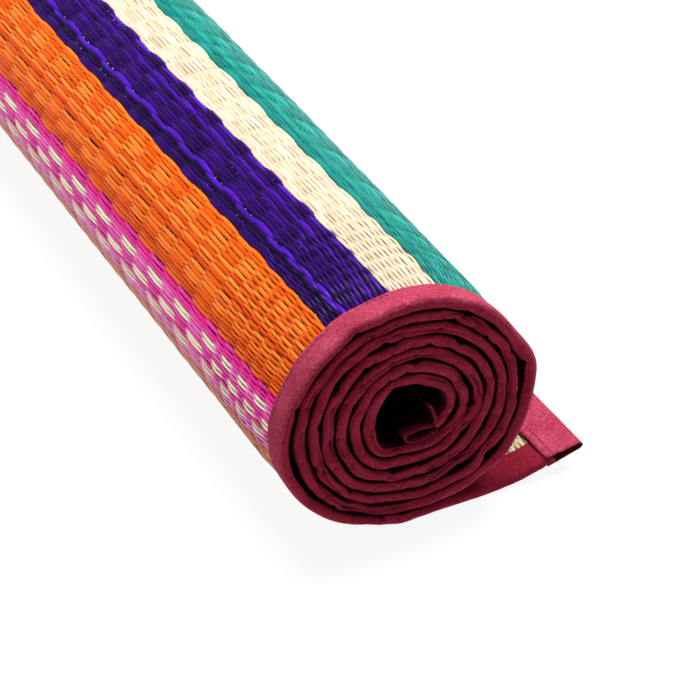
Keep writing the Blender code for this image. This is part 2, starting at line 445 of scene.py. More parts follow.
def maroon_cotton():
    """Plain-woven tape, with painted shade in its folds and on the wound end, and painted light outside."""
    material, bench, surface, place = new_finish("maroon_tape")
    flat = bench.add("ShaderNodeUVMap", {"uv_map": "cloth"})
    open_air = bench.stored("open_air")
    warp = bench.stretched(flat, (ACROSS_THREAD, ALONG_THREAD, 0.0), 3.0, 0.6)
    weft = bench.stretched(flat, (ALONG_THREAD, ACROSS_THREAD, 0.0), 3.0, 0.6)
    threads = (warp + weft) * 0.5
    clouds = bench.noise(place, 70.0, 4.0, 0.6)
    mix = threads + clouds * 0.25
    # painted light: dark deep in folds, the shaded stops on the wound end, and the paler lit stops outside
    shaded = bench.blend(bench.ease(open_air, 0.0, FACE_LIGHT), FOLD_SHADE, bench.ramp(mix, *SHADED_STOPS))
    colour = bench.blend(bench.ease(open_air, FACE_LIGHT + 0.08, 1.0), shaded, bench.ramp(mix, *LIT_STOPS))
    creases = bench.noise(place, 160.0, 3.0, 0.6)
    relief = bench.bump(threads + creases * 0.8, 0.6, 0.0005)
    plug(bench, surface, Base_Color=colour, Roughness=0.92 - clouds * 0.1, Normal=relief)
    plug(bench, surface, Specular_IOR_Level=0.05, Sheen_Weight=0.03, Sheen_Tint=(1.0, 0.45, 0.6, 1.0))
    return material

# %% Thread and backing
def thread(name, deep, pale):
    """Spun cotton thread."""
    material, bench, surface, place = new_finish(name)
    twist = bench.noise(place, 2500.0, 2.0)
    colour, relief = bench.blend(twist, deep, pale), bench.bump(twist, 0.4, 0.0001)
    plug(bench, surface, Base_Color=colour, Roughness=0.9 - twist * 0.1, Normal=relief)
    return material


def backing():
    """The mat between the reeds that show: dark straw, painted as in the shade of the reeds, ribbed like the
    weave.
    """
    material, bench, surface, place = new_finish("straw_backing")
    fibres = bench.stretched(place, (900.0, 30.0, 900.0), 3.0)
    straw = bench.blend(fibres, (0.05, 0.022, 0.010), (0.20, 0.11, 0.045))
    # painted shade: near black where little light reaches, in the inner turns of the roll
    colour = bench.blend(bench.stored("open_air"), (0.004, 0.002, 0.001), straw)
    relief = bench.bump(fibres, 0.8, 0.0008)
    plug(bench, surface, Base_Color=colour, Roughness=fibres * 0.2 + 0.6, Normal=relief)
    plug(bench, surface, Specular_IOR_Level=0.05)
    return material


TAPE = maroon_cotton()
STITCH = thread("stitch_thread", (0.14, 0.004, 0.016), (0.30, 0.015, 0.040))
WARP = thread("warp_thread", (0.62, 0.55, 0.50), (0.90, 0.86, 0.80))
BACKING = backing()

# %% [markdown]
# ## The sheet under the reeds
#
# The reeds that show are separate pieces, so between them there has to be a mat to lie on. It is one
# thin sheet along the whole spiral. Round the last turn it is kept to the inner half of the mat's
# thickness, and on the loose end to the lower half, to leave room for the reeds.

# %% The backing sheet
REEL_OUT, TAIL_START = length_at(7.0) - 3.0, length_at(7.0) + 9.0
SHEET_START, SHEET_END = 8.8, TIP - 14.3
SHEET_FROM = NEAR_END + 2.6
WIDTH = FAR_END - NEAR_END
SKINS = (  # from a length on: the outer face, and the inner face
    (length_at(5.95), 1.0, -1.0),
    (length_at(6.0), -0.55, -1.0),
    (REEL_OUT, -0.55, -1.0),
    (TAIL_START, 1.0, 0.55),
    (TIP, 1.0, 0.55),
)
SHEET_STEP = 3.9
FLOOR_GAP = 0.1  # no reed, thread or backing comes nearer to the floor
SWELL, BELLY = 1.5, 3.0  # how far the last turn stands off: next to the tapes, and halfway along
SWELL_FROM, SWELL_TO = 9, 34  # from the mat's edge: where the swelling starts, and where it is full
UPPER_RIGHT = (0.84, 0.54)  # it bellies out most this way
# painted shade: along the roll, the backing is painted dark up to the first length and lit from the second
DAYLIGHT = (length_at(1.2), length_at(5.8))  # the mat is dark before the first, and lit after the second


def from_edge(y):
    """How far a place along the roll is from the nearer edge of the mat."""
    return np.minimum(y - NEAR_END, FAR_END - y)

# %% Building the backing sheet
def backing_sheet():
    """One thin sheet along the whole spiral, swollen on the last turn."""
    length = np.arange(SHEET_START, SHEET_END, SHEET_STEP)
    lengths, outer, inner = zip(*SKINS)
    skins = (np.interp(length, lengths, outer), np.interp(length, lengths, inner))
    on_roll = smooth(length, length_at(6.0), length_at(6.06)) * (1 - smooth(length, REEL_OUT - 20, REEL_OUT))
    across, up = lean(length)
    upper_right = (1 + across * UPPER_RIGHT[0] + up * UPPER_RIGHT[1]) / 2
    near_rows = np.linspace(NEAR_END + SWELL_FROM, NEAR_END + SWELL_TO, 4)
    rows = np.concatenate([[SHEET_FROM], near_rows, np.linspace(-380, 380, 15)])
    rows = np.concatenate([rows, -rows[4::-1]])
    rings = []
    for y in rows:
        clear = smooth(from_edge(y), SWELL_FROM, SWELL_TO)
        belly = BELLY * math.sin(math.pi * (y - NEAR_END) / WIDTH) * upper_right
        raised = on_roll * (clear * SWELL + belly)
        (x0, z0), (x1, z1) = (on_line(length, skin + raised) for skin in skins)
        x, z = np.concatenate([x0, x1[::-1]]), np.concatenate([z0, z1[::-1]])
        rings.append(np.stack([x, np.full_like(x, y), np.maximum(z, FLOOR_GAP)], axis=-1))
    around = len(rings[0])
    faces = tube_faces(len(rows), around).tolist()
    for k in range(around // 2 - 1):
        faces += capped([k, k + 1, around - 2 - k, around - 1 - k], (len(rows) - 1) * around)
    made = make_object("backing_sheet", np.concatenate(rings), faces)
    lit = np.interp(length, DAYLIGHT, (0.0, 1.0))
    give_points(made, "open_air", np.tile(np.concatenate([lit, lit[::-1]]), len(rows)))
    made.data.materials.append(BACKING)
    return made


mat = backing_sheet()
print(f"backing: {triangles(mat)} triangles")

# %% [markdown]
# ## Where the warp runs
#
# The weaver sets the warp threads closer at the edges, one by one, and in pairs over the rest of the
# mat. A reed goes over one group and under the next, so the groups set the length of every float.

# %% The warp's places along the roll
EDGE_WARPS = (16.0, 24.0, 32.0, 40.0, 48.0, 56.0, 64.5)  # from the mat's edge
FIRST_PAIR, PAIRS, PAIR_GAP = 73.0, 51, 5.8
FIRST_CROSSING = 12.0
edge = np.array(EDGE_WARPS)
GROUPS = np.concatenate([edge, np.linspace(FIRST_PAIR, WIDTH - FIRST_PAIR, PAIRS), WIDTH - edge[::-1]])
halfway = (GROUPS[1:] + GROUPS[:-1]) / 2
CROSSINGS = np.concatenate([[FIRST_CROSSING], halfway, [WIDTH - FIRST_CROSSING]])
in_pairs = np.arange(len(GROUPS))
in_pairs = (in_pairs >= len(edge)) & (in_pairs < len(edge) + PAIRS)
WARP_PLACES = np.concatenate(
    [GROUPS[~in_pairs], GROUPS[in_pairs] - PAIR_GAP / 2, GROUPS[in_pairs] + PAIR_GAP / 2]
)
print(f"{len(GROUPS)} groups of warp, {len(WARP_PLACES)} threads")

# %% [markdown]
# ## One reed
#
# A reed is wide and flat where it floats over the warp, and narrow where it passes its neighbours on
# the way down. One pattern reed is enough, and a second with its ups and downs swapped: Geometry
# Nodes sets one of the two down at each place in the weave.

# %% The two pattern reeds
FLOAT_STEPS = (0.0, 0.2, 0.5, 0.8)  # where a float is measured, along its length
TOP, DIP = 1.0, 1.05  # the height of a float above the middle line, and how far it dives
CROSS = ((-0.5, -0.45), (-0.24, -0.04), (0.24, -0.04), (0.5, -0.45))  # share of the width, and height
PINCH = 0.70  # width at a crossing, as a share of the float's
REED_FROM = 4.5  # where a reed starts, from the mat's edge
EDGE_DIVE, EDGE_WIDTH = 0.80, 0.78  # by the edges the weave is finer: share of the dive, and width
INLAND = (62, 80)  # from the edge: where it starts to be coarser, and where it is as coarse as can be
FULLNESS = 0.85  # under 1, a float is wide for more of its length


def pattern_reed(name, sign):
    """A reed of the whole width, laid out flat; its sign says whether it starts over the warp."""
    y, wave, rides = [], [], []
    for k, (start, end) in enumerate(zip(CROSSINGS[:-1], CROSSINGS[1:])):
        for step in FLOAT_STEPS:
            y.append(start + (end - start) * step)
            wave.append(math.sin(math.pi * step) ** FULLNESS)
            rides.append(sign * (-1) ** k * wave[-1])
    y = np.array([REED_FROM] + y[1:] + [WIDTH - REED_FROM])
    wave, rides = np.array(wave + [0.0]), np.array(rides + [0.0])
    inland = smooth(np.minimum(y, WIDTH - y), *INLAND)
    dive, slim = EDGE_DIVE + (1 - EDGE_DIVE) * inland, EDGE_WIDTH + (1 - EDGE_WIDTH) * inland
    sunk = dive * (1 - rides) / 2
    points, lift, side = [], [], []
    for share, drop in CROSS:
        across = share * slim * (PINCH + (1 - PINCH) * wave)
        height = TOP - DIP * sunk + drop
        points.append(np.stack([across, y + NEAR_END, height], axis=-1))
        lift.append((1 - sunk) * (1.0 + drop))
        side.append(across)
    rows = len(CROSS)
    across, along = np.meshgrid(np.arange(rows - 1), np.arange(len(y) - 1), indexing="ij")
    here = across * len(y) + along
    faces = np.stack([here, here + len(y), here + len(y) + 1, here + 1], axis=-1).reshape(-1, 4)
    reed = make_object(name, np.concatenate(points), faces)
    give_points(reed, "lift", np.concatenate(lift))
    give_points(reed, "side", np.concatenate(side))
    return reed


over_reed, under_reed = pattern_reed("over_reed", 1), pattern_reed("under_reed", -1)
print(f"a reed has {triangles(over_reed)} triangles")

# %% [markdown]
# ## Weaving
#
# The weaving tree takes one point for each reed, stands a pattern reed on every one, and then rolls
# them all up: each corner of a reed looks up its place on the spiral, by its length along the sheet,
# and steps out by its height. On the way the reeds are given their unevenness. They drift together
# along the roll, as a warp does, wave with their neighbours, and each wavers and swells by itself.

# %% Helpers for geometry trees
def new_tree(name, sockets):
    """A geometry tree with named inputs and one geometry output."""
    tree = bpy.data.node_groups.new(name, "GeometryNodeTree")
    tree.interface.new_socket("Geometry", in_out="OUTPUT", socket_type="NodeSocketGeometry")
    for label, kind in {"Geometry": "Geometry", **sockets}.items():
        tree.interface.new_socket(label, in_out="INPUT", socket_type="NodeSocket" + kind)
    bench = Bench(tree)
    source = tree.nodes.new("NodeGroupInput")
    return bench, {label: Wire(bench, source.outputs[label]) for label in ["Geometry", *sockets]}


def close_tree(bench, geometry, material):
    """Ends a tree: real geometry, and its material."""
    real = bench.add("GeometryNodeRealizeInstances", None, {"Geometry": geometry})
    dressed = bench.add("GeometryNodeSetMaterial", None, {"Geometry": real, "Material": material})
    bench.add("NodeGroupOutput", None, {"Geometry": dressed})
    return bench.tree


def field(bench, name):
    """A number that each point carries under a name."""
    settings = {"data_type": "FLOAT"}
    return bench.add("GeometryNodeInputNamedAttribute", settings, {"Name": name}, out="Attribute")


def geometry_of(bench, thing):
    """The mesh of another object."""
    return bench.add("GeometryNodeObjectInfo", None, {"Object": thing}, out="Geometry")


def vector_of(bench, x=0.0, y=0.0, z=0.0):
    """Three numbers as one vector."""
    return bench.add("ShaderNodeCombineXYZ", None, {"X": x, "Y": y, "Z": z})

# %% Rolling up
def tightness(bench, along):
    """0 under the side tapes, and 1 a little way in from them."""
    from_mat_edge = bench.maths("MINIMUM", along - NEAR_END * MM, FAR_END * MM - along)
    return bench.ease(from_mat_edge, SWELL_FROM * MM, SWELL_TO * MM)


def arch(bench, along):
    """0 at both ends of the roll, and 1 halfway along it."""
    return bench.maths("SINE", (along - NEAR_END * MM) * (math.pi / (WIDTH * MM)))


def wander(bench, x, y, z=0.0, detail=2.0):
    """Smooth random values around 0, that change with x and y; z sets one kind apart from the next."""
    return bench.noise(vector_of(bench, x, y, z), 1.0, detail) - 0.5


def roll_up(bench, given, flat, where, along, height, slid):
    """Moves flat geometry on to the spiral: by its length along it, and its height above it."""
    curve = bench.add("GeometryNodeMeshToCurve", None, {"Mesh": geometry_of(bench, given["Path"])})
    settings = {"mode": "LENGTH", "use_all_curves": True}
    spot = bench.add("GeometryNodeSampleCurve", settings, {"Curves": curve, "Length": where}, "Position")
    ahead = Wire(bench, spot.socket.node.outputs["Tangent"])
    (x, z), (ahead_x, ahead_z) = ((bench.axis(each, "X"), bench.axis(each, "Z")) for each in (spot, ahead))
    upper_right = ahead_z * (UPPER_RIGHT[0] * 0.5) - ahead_x * (UPPER_RIGHT[1] * 0.5) + 0.5
    belly = arch(bench, along) * given["Belly"] * upper_right
    out = given["Face"] * (height + tightness(bench, along) * given["Swell"] + belly)
    up = bench.maths("MAXIMUM", z - out * ahead_x, FLOOR_GAP * MM)
    spot = vector_of(bench, x + out * ahead_z, slid, up)
    return bench.add("GeometryNodeSetPosition", None, {"Geometry": flat, "Position": spot})


ROLL = {"Path": "Object", "Face": "Float", "Swell": "Float", "Belly": "Float"}

# %% The weaving tree
def weaving_tree():
    """One point for each reed in, a rolled-up weave out."""
    sockets = {"Over": "Object", "Under": "Object", **ROLL}
    sockets |= {"Drift": "Float", "Wave": "Float", "Waver": "Float", "Dye": "Material"}
    bench, given = new_tree("weave_reeds", sockets)
    laid = []
    for label in ("Over", "Under"):
        chosen = field(bench, "over") if label == "Over" else 1.0 - field(bench, "over")
        values = {"Points": given["Geometry"], "Selection": chosen > 0.5}
        values["Instance"] = geometry_of(bench, given[label])
        laid.append(bench.add("GeometryNodeInstanceOnPoints", None, values))
    reeds = bench.add("GeometryNodeJoinGeometry", None, {"Geometry": laid})
    real = bench.add("GeometryNodeRealizeInstances", None, {"Geometry": reeds})
    number, broad, at = (field(bench, name) for name in ("number", "broad", "at"))
    place = bench.add("GeometryNodeInputPosition")
    along, height = bench.axis(place, "Y"), bench.axis(place, "Z")

    # along the sheet: side by side, wavering alone and with their neighbours, and creeping round
    together = wander(bench, at * 110.0, along * 42.0)
    alone = wander(bench, number * 5.37, along * 75.0, detail=1.0)
    breadth = wander(bench, number * 7.13, along * 80.0, 3.0, 1.0)
    width = broad * (breadth * 0.8 + 1.0)
    where = at + given["Face"] * (field(bench, "side") * width + alone * given["Waver"] * broad)
    where = where + together * given["Wave"] + arch(bench, along) * field(bench, "crept")

    # off the sheet, in soft lumps, and along the roll, in slow drifts
    lumps = wander(bench, at * 16.0, along * 14.0, 7.0)
    raised = height + tightness(bench, along) * given["Swell"] * lumps * 0.6
    slow, single = wander(bench, at * 38.0, along * 3.0, 5.0), wander(bench, number * 3.1, 0.0, 4.0)
    slid = along + (slow + single * 0.5) * given["Drift"]
    moved = roll_up(bench, given, real, where, along, raised, slid)

    fade = wander(bench, number * 9.7, along * 55.0, 9.0, 1.0)
    values = {"Geometry": moved, "Name": "tone", "Value": field(bench, "tone") + fade * 0.8}
    settings = {"data_type": "FLOAT", "domain": "POINT"}
    toned = bench.add("GeometryNodeStoreNamedAttribute", settings, values)
    return close_tree(bench, toned, given["Dye"])

# %% Growing a piece
def grown(name, seed, tree, **values):
    """The plain mesh that a geometry tree makes from a seed object."""
    modifier = seed.modifiers.new("grow", "NODES")
    modifier.node_group = tree
    for item in tree.interface.items_tree:
        if item.in_out == "INPUT" and item.name in values:
            modifier[item.identifier] = values[item.name]
    seed.data.update()
    graph = bpy.context.evaluated_depsgraph_get()
    result = seed.evaluated_get(graph)
    mesh = bpy.data.meshes.new_from_object(result, preserve_all_data_layers=True, depsgraph=graph)
    mesh.name = name
    made = bpy.data.objects.new(name, mesh)
    bpy.context.scene.collection.objects.link(made)
    bpy.data.objects.remove(seed)
    return made


WEAVE = weaving_tree()

# %% [markdown]
# ## The stripes
#
# The stripes run along the roll, because the reeds do. Each row gives where a stripe ends, along the
# sheet, and the dyes of its reeds: one name for both kinds of reed, or two where every other reed is
# of another dye. That is how the pink stripe gets its pale ovals, which swap places from row to row.

# %% The stripes
LAST_TURN = length_at(6.03)
STRIPES = (
    (1366.0, "pink", "pink"),
    (1372.5, "pink", "oat"),
    (1376.0, "pink", "pink"),
    (1411.5, "orange", "orange"),
    (1441.0, "purple", "purple"),
    (1470.0, "ivory", "ivory"),
    (1512.3, "teal", "teal"),
    (1536.8, "ivory", "ivory"),
    (1567.6, "purple", "purple"),
    (1605.4, "orange", "orange"),
    (1607.6, "pink", "magenta"),
    (1610.7, "pink", "pink"),
    (1617.2, "oat", "pink"),
    (1618.5, "pink", "pink"),
    (1624.4, "pink", "oat"),
    (1625.8, "lilac", "pink"),
    (1630.6, "oat", "lilac"),
    (1634.4, "lilac", "lilac"),
    (1676.0, "rust", "rust"),
    (TIP, "straw", "straw"),
)
BROAD_REED = 1557.4  # one broad, bright reed in the purple
DULL_REEDS = (1559.5, 1567.6)  # beside it, darker ones
PITCH, BROADEST = 1.13, 2.9  # from reed to reed, and the room that the broadest one takes
OVER_FULL, UNDER_FULL = 0.98, 0.90  # how much of its room a reed fills, over the warp and under it
CREPT = (  # a place along the sheet, and how far its stripe has crept round the roll, halfway along it
    (1450, 12.0), (1512, 9.6), (1537, 7.0), (1567, 4.4), (1606, 2.2),
)
TONES = np.random.default_rng(11)

# %% Laying out the reeds
def reed_places(start, end):
    """Where the reeds lie along the sheet: close together, and none quite as wide as the next."""
    places = [start]
    while places[-1] < end:
        step = PITCH * float(np.clip(TONES.normal(1.0, 0.2), 0.6, 1.6))
        if abs(places[-1] - BROAD_REED) < PITCH * 1.2:
            step *= 1.45
        places.append(places[-1] + step)
    return np.array(places)


def lay_reeds(label, start, end, face, **given):
    """Reeds on one face of the sheet (face 1 looks away from the core), in a piece for each dye."""
    places = reed_places(start, end)
    room = (np.roll(places, -2) - np.roll(places, 2)) / 2
    room[:2], room[-2:] = 2 * PITCH, 2 * PITCH
    number = np.arange(len(places))
    over = (number + (face < 0)) % 2
    stripe = np.searchsorted([row[0] for row in STRIPES], places)
    dyes = [STRIPES[s][1 + int(o)] for s, o in zip(stripe, over)]
    full = np.where(over > 0, OVER_FULL, UNDER_FULL) * TONES.uniform(0.90, 1.10, len(places))
    facts = {
        "at": (places - PATH_START) * MM,
        "broad": np.minimum(room, BROADEST) * full * MM,
        "number": number + 500.0 * (face < 0),
        "over": over.astype(float),
        "crept": np.interp(places, *zip(*CREPT)) * (face > 0) * MM,
        "tone": TONES.uniform(0, 1, len(places)),
    }
    facts["tone"][abs(places - BROAD_REED) < PITCH] = 1.0
    facts["tone"][(places > DULL_REEDS[0]) & (places < DULL_REEDS[1])] -= 0.45
    pieces = []
    for group in sorted(set(zip(stripe.tolist(), dyes))):
        mine = [k for k in range(len(places)) if (stripe[k], dyes[k]) == group]
        seed = make_object("seed", np.zeros((len(mine), 3)), [])
        for name, values in facts.items():
            give_points(seed, name, values[mine])
        name = f"reeds_{label}_{group[0]:02d}_{group[1]}"
        given |= {"Dye": REED[group[1]], "Face": float(face)}
        pieces.append(grown(name, seed, WEAVE, **UNEVEN, **given))
    return pieces

# %% Weaving the last turn and the loose end
def path_object(name, points):
    """A line of points, in millimetres, for a tree to follow."""
    return make_object(name, points, [], edges=[(k, k + 1) for k in range(len(points) - 1)])


first = int(np.searchsorted(LENGTH, length_at(5.8)))
PATH_START = LENGTH[first]
x, z = LINE[first:, 1] + CORE[0], LINE[first:, 2] + CORE[1]
path = path_object("last_turn_path", np.stack([x, np.zeros_like(x), z], axis=-1))
UNEVEN = {"Over": over_reed, "Under": under_reed, "Path": path}
UNEVEN |= {"Drift": 0.009, "Wave": 0.0006, "Waver": 0.3}
ON_ROLL, ON_TAIL = {"Swell": SWELL * MM, "Belly": BELLY * MM}, {"Swell": 0.0, "Belly": 0.0}
reeds = lay_reeds("roll", LAST_TURN - 16, REEL_OUT, 1, **ON_ROLL)
reeds += lay_reeds("tail", TAIL_START, SHEET_END - 1, -1, **ON_TAIL)
for pattern in (over_reed, under_reed):
    bpy.data.objects.remove(pattern)
print(f"{len(reeds)} pieces of reeds, {sum(map(triangles, reeds))} triangles")
print("largest:", max((triangles(piece), piece.name) for piece in reeds))

# %% [markdown]
# ## The warp threads
#
# The warp only shows as small pale dots, where a gap between two floats lets it through. A thin
# square-sided thread is laid along the sheet once, and Geometry Nodes repeats it at every place in
# the warp and rolls it up with the reeds' own tree.

# %% The thread tree
THREAD, THREAD_UP, THREAD_STEP = 0.29, -0.19, 5.5  # radius, height above the sheet's middle, and step


def warp_tree():
    """One point for each warp thread in, rolled-up threads out."""
    sockets = {"Thread": "Object", "Dye": "Material", **ROLL}
    bench, given = new_tree("lay_warp", sockets)
    values = {"Points": given["Geometry"], "Instance": geometry_of(bench, given["Thread"])}
    threads = bench.add("GeometryNodeInstanceOnPoints", None, values)
    real = bench.add("GeometryNodeRealizeInstances", None, {"Geometry": threads})
    place = bench.add("GeometryNodeInputPosition")
    x, y, z = (bench.axis(place, name) for name in "XYZ")
    return close_tree(bench, roll_up(bench, given, real, x, y, z, y), given["Dye"])


def pattern_thread(start, end):
    """A square-sided thread, laid out flat, from one length along the sheet to another."""
    length = np.arange(start - PATH_START, end - PATH_START, THREAD_STEP)
    around = ((THREAD, 0), (0, THREAD), (-THREAD, 0), (0, -THREAD))
    points = [(at, y, z + THREAD_UP) for at in length for y, z in around]
    return make_object("pattern_thread", points, tube_faces(len(length), 4).tolist())


def lay_warp(name, start, end, face, **given):
    """All the warp of one stretch of the sheet."""
    strand = pattern_thread(start, end)
    none = np.zeros_like(WARP_PLACES)
    seed = make_object("spots", np.stack([none, WARP_PLACES + NEAR_END, none], -1), [])
    made = grown(name, seed, WARPING, Thread=strand, Dye=WARP, Path=path, Face=float(face), **given)
    bpy.data.objects.remove(strand)
    return made


WARPING = warp_tree()
warps = [lay_warp("warp_roll", LAST_TURN, REEL_OUT, 1, **ON_ROLL)]
warps += [lay_warp("warp_tail", TAIL_START, SHEET_END, -1, **ON_TAIL)]
bpy.data.objects.remove(path)
print(f"warp: {sum(map(triangles, warps))} triangles")

# %% [markdown]
# ## The side tapes
#
# A strip of cotton is folded over each long side and stitched through. It was sewn flat and then
# rolled with the mat, so it has more cloth than room: it puffs up between the turns and puckers.
# Its section is swept along the spiral, as thick at each place as the room there, and the puckers,
# creases and soft dents are added on the way.

# %% Where the side tapes fold
PUCKERS = (  # turn, degrees from straight down, half width in degrees, depth
    (0, 205, 14, 0.8),
    (1, 187, 11, 1.1),
    (1, 287, 10, 1.2),
    (1, 349, 11, 1.2),
    (2, 51, 11, 1.3),
    (2, 99, 10, 0.9),
    (3, 217, 9, 1.0),
    (3, 302, 9, 0.9),
    (4, 30, 9, 1.0),
    (4, 234, 9, 0.8),
    (4, 344, 9, 1.3),
    (5, 48, 8, 1.1),
    (5, 108, 8, 1.2),
    (5, 155, 8, 1.0),
    (6, 39, 7, 1.3),
    (6, 98, 8, 1.1),
    (6, 207, 7, 0.8),
    (6, 250, 7, 0.8),
)
PLEATS = (  # turn, degrees, half width, size, and side: where a turn bulges sharply outwards
    (2, 50, 9, 0.7, 1),
    (5, 40, 6, 0.8, 1),
    (5, 128, 7, -0.5, 1),
    (4, 75, 8, 0.5, 1),
    (3, 250, 8, 0.6, 1),
    (6, 205, 6, -0.5, -1),
)
PUFFS = (  # turn, degrees, half width, and how much thicker on the outside and the inside
    (6, 82, 48, 1.4, 0.2),
    (6, 180, 45, 0.0, 1.5),
    (5, 180, 42, -1.1, 1.1),
    (4, 180, 40, -0.9, 0.9),
    (3, 180, 40, -0.7, 0.7),
    (2, 180, 45, -0.4, 0.4),
)
NOTCHES = (  # across and up from the core: where the cloth is pinched back from the next turn
    (-25.5, 51), (-14.5, 44), (-8, 38), (-55, 20), (-36, 25.5), (-23, 31), (9, 33.5), (20.5, 43),
    (28, 43.5), (50, 16), (60, 8), (53, -8), (42, -39), (-13, -54), (-44, 8), (-30, -32), (2, 26),
    (33, -6), (-47, -14), (24, 30), (-8, -30), (38, 30), (-38, -38), (30, -31),
)
NOTCH_DEPTH, NOTCH_REACH = 1.5, 3.0
print(f"{len(PUCKERS)} puckers, {len(PLEATS)} pleats, {len(PUFFS)} puffs and {len(NOTCHES)} notches")

# %% [markdown]
# ### How thick the tape is
#
# Between two turns the tape is as thick as the room there, and where it is free it puffs up. The folds
# placed above are added to that, on the outside and the inside of the mat, with fine stiff creases.
# Every place is first given its shares: how far it belongs to the last turn, to the tail, and so on.

# %% The walls of the side tapes
TAPE_FROM, TAPE_TO = 16.3, TIP - 15.0
UNDER_FLAP = TIP - 20.1  # from here on the side tape lies inside the end tape


def how_it_lies(length):
    """The turn at each place of a side tape, and as shares from 0 to 1 what it belongs to."""
    turn = np.interp(length, LENGTH, LINE[:, 0])
    last, tail = smooth(turn, 5.98, 6.04), smooth(length, TAIL_START - 4, TAIL_START + 4)
    return {
        "turn": turn,
        "last": last,  # its outer face is smooth and in the open
        "tail": tail,
        "loose": 1 - np.maximum(last, tail),
        "core": smooth(turn, 0.98, 0.90),
        "tucked": smooth(length, UNDER_FLAP - 3, UNDER_FLAP),
        # painted light: the last turn's outside is painted lit, and a little darker from about two thirds
        # round
        "outside": last * (1 - 0.16 * smooth(turn, 6.66, 6.78)),
    }


def wall(length, side):
    """How thick the tape is on one side of the mat, at each length."""
    walls = []
    for turn in np.interp(length, LENGTH, LINE[:, 0]):
        if turn + side < 0:
            walls.append(TAPE_PUFFED)
            continue
        room = side * (radius(turn + side) - radius(turn))
        puffed = min((room - TURN_GAP) / 2 - SLOT, TAPE_PUFFED)
        walls.append(max(TAPE_THIN, puffed - 9.0 * max(0.0, turn - len(TURNS))))
    return np.array(walls)


def pinch_back(length, outer, inner):
    """Pinches the cloth back at each notch, on the side of the mat where the notch is."""
    for across, up in NOTCHES:
        at = LENGTH[int(np.argmin(np.hypot(LINE[:, 1] - across, LINE[:, 2] - up)))]
        x, z = on_line(np.array([at]), 0.0)
        side = math.copysign(1, across * (across + CORE[0] - x[0]) + up * (up + CORE[1] - z[0]))
        pinch = NOTCH_DEPTH * np.clip(1 - abs(length - at) / NOTCH_REACH, 0, 1)
        outer, inner = (outer - pinch, inner) if side > 0 else (outer, inner - pinch)
    return outer, inner


def tape_walls(length, lies, seed):
    """How thick the tape is on the outside and the inside of the mat, with its folds."""
    outer = wall(length, 1) - lies["loose"] * (0.35 + 0.45 * facets(seed + 2, length / 5.5))
    outer = outer - 0.7 * lies["tucked"]
    inner = wall(length, -1) - (1 - lies["tail"]) * (0.35 + 0.45 * facets(seed + 3, length / 6.5))
    for turns, degrees, half_width, size, side in PLEATS:
        lift = bumps([(turns, degrees, half_width, size)], lies["turn"])
        outer, inner = (outer + lift, inner - lift) if side > 0 else (outer - lift, inner + lift)
    for turns, degrees, half_width, outside_more, inside_more in PUFFS:
        puff = bumps([(turns, degrees, half_width, 1.0)], lies["turn"])
        outer, inner = outer + outside_more * puff, inner + inside_more * puff
    return pinch_back(length, outer, inner)


# %% [markdown]
# ### The section of the tape
#
# The section is a leaf on each face of the mat and a rounded nose between them, which is the edge that
# faces out at the end of the roll. The nose takes the puckers, fine creases and one long soft fold.
# Each place in the section also says how much light reaches it, for the finish to darken deep folds.

# %% The leaves and the nose
# How far back from the mat's edge, and the share of the tape's thickness there:
OUTER_LEAF = ((13.0, 0.30), (12.7, 0.58), (11.5, 0.46), (10.2, 0.66), (7.6, 0.88), (5.2, 1.0), (3.6, 1.0))
INNER_LEAF = ((3.6, 1.0), (6.0, 1.0), (10.0, 0.9), (14.0, 0.75), (16.5, 0.5), (17.7, 0.6), (18.0, 0.3))
NARROWER = 2.0  # so much narrower is the upper leaf on the loose end
NOSE, NOSE_POINTS = 3.0, 13
INSIDE = 0.05  # how much light a fold deep between two turns is given
LIT_FROM, LIT_TO = -0.95, 0.7  # angles on the nose between which the light reaches round it


def tape_leaf(length, lies, leaf, thick, side, shift, seed):
    """The tape on one face of the mat: places in the section, and how open each is to the light."""
    places, air = [], []
    uneven = 0.5 * hills(seed + 5, length / 17.0) + 0.2 * facets(seed + 6, length / 5.0)
    for back, full in leaf:
        in_core = 0.3 * lies["core"] * (1 - float(smooth(back, 1, 9)))
        # painted shade: only the last turn's outside is painted fully lit, and the tail's tape is painted at
        # half light
        seen = lies["outside"] if side > 0 else np.maximum(0.5 * lies["tail"], in_core)
        dent = 0.16 * hills(seed + side, length / 9.0, back / 5.0) * full
        hem = smooth(back, 10, 12) * uneven
        hem = hem - NARROWER * lies["tail"] * smooth(back, 12, 17) * (side < 0)
        places.append((back + hem, shift + side * (SLOT + thick * (full + dent))))
        air.append(INSIDE + (1 - INSIDE) * seen)
    return places, air


